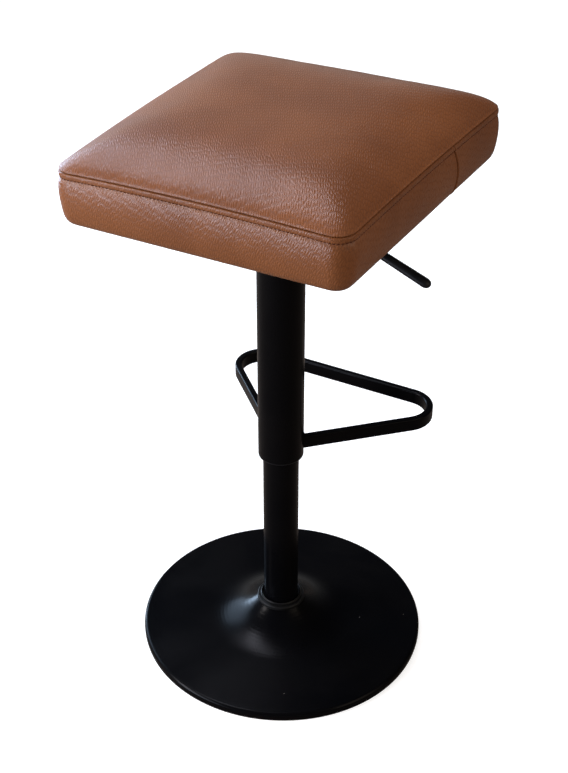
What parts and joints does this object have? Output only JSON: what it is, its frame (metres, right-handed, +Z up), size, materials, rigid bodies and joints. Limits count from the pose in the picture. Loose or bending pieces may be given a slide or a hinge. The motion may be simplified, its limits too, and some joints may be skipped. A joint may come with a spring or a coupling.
{
  "type": "adjustable bar stool",
  "caption": "Height-adjustable swivel stool: round trumpet base, telescoping column, looped footrest, side release lever and a backless square cushioned seat.",
  "frame": {"origin": "centre of the round base at floor level", "axes": "+Z up along the column, +Y towards the sitter's front and the footrest's long bar, +X to the side of the release lever; drawn with the seat at the top of its travel"},
  "size_m": [0.42, 0.42, 0.8199],
  "materials": {
    "satin_black": "satin black powder coat",
    "plain_steel": "dull mill finish",
    "zinc": "bright zinc plate",
    "bearing_steel": "ground",
    "spring_steel": "blackened",
    "hard_chrome": "polished",
    "cylinder_black": "semi-gloss black",
    "cage_brass": "dull",
    "valve_brass": "turned",
    "black_rubber": "matte moulded",
    "black_plastic": "fine grain moulded",
    "white_acetal": "smooth",
    "plywood": "sanded, unfinished",
    "foam": "cut polyurethane foam",
    "black_nonwoven": "non-woven dust cloth",
    "brown_leather": "warm brown, fine pebbled grain"
  },
  "bodies": {
    "base": {"floor_ring": "black_rubber", "base_dish": "satin_black", "hub_plate": "plain_steel", "foot_washers": "zinc", "foot_bolts": "zinc", "column_tube": "satin_black", "foot_plate": "plain_steel", "column_collar": "black_rubber", "guide_bush": "white_acetal", "thrust_washer_low": "bearing_steel", "ball_cage": "cage_brass"},
    "spindle": {"thrust_washer_high": "bearing_steel", "clip_washer": "zinc", "retaining_clip": "spring_steel", "piston_rod": "hard_chrome", "bump_stop": "black_rubber", "piston": "valve_brass"},
    "seat": {"gas_cylinder": "cylinder_black", "rod_gland": "valve_brass", "taper_socket": "plain_steel", "sleeve": "satin_black", "glide_ring": "black_plastic", "footrest": "satin_black", "mounting_plate": "satin_black", "lever_bracket": "plain_steel", "pivot_pin": "zinc", "seat_board": "plywood", "t_nuts": "zinc", "seat_washers": "zinc", "seat_screws": "zinc", "dust_cover": "black_nonwoven", "foam_pad": "foam", "top_panel": "brown_leather", "rear_band": "brown_leather", "front_band": "brown_leather"},
    "lever": {"lever": "satin_black", "lever_grip": "black_plastic"},
    "button": {"release_pin": "hard_chrome"}
  },
  "joints": [
    {"name": "seat_swivel", "type": "hinge", "parent": "base", "child": "spindle", "pos_m": [0, 0, 0.0255], "axis": [0, 0, 1], "continuous": true},
    {"name": "seat_lift", "type": "slide", "parent": "spindle", "child": "seat", "axis": [0, 0, 1], "range_m": [-0.21, 0]},
    {"name": "lever_lift", "type": "hinge", "parent": "seat", "child": "lever", "pos_m": [0.015, 0, 0.70445], "axis": [0, -1, 0], "range_deg": [0, 8], "stiffness_Nm_per_rad": 1.5, "springref_deg": -14.32},
    {"name": "button_press", "type": "slide", "parent": "seat", "child": "button", "axis": [0, 0, -1], "range_m": [0, 0.0028]}
  ],
  "couplings": [
    {"joint": "button_press", "follows": "lever_lift", "m_per_rad": 0.018}
  ]
}
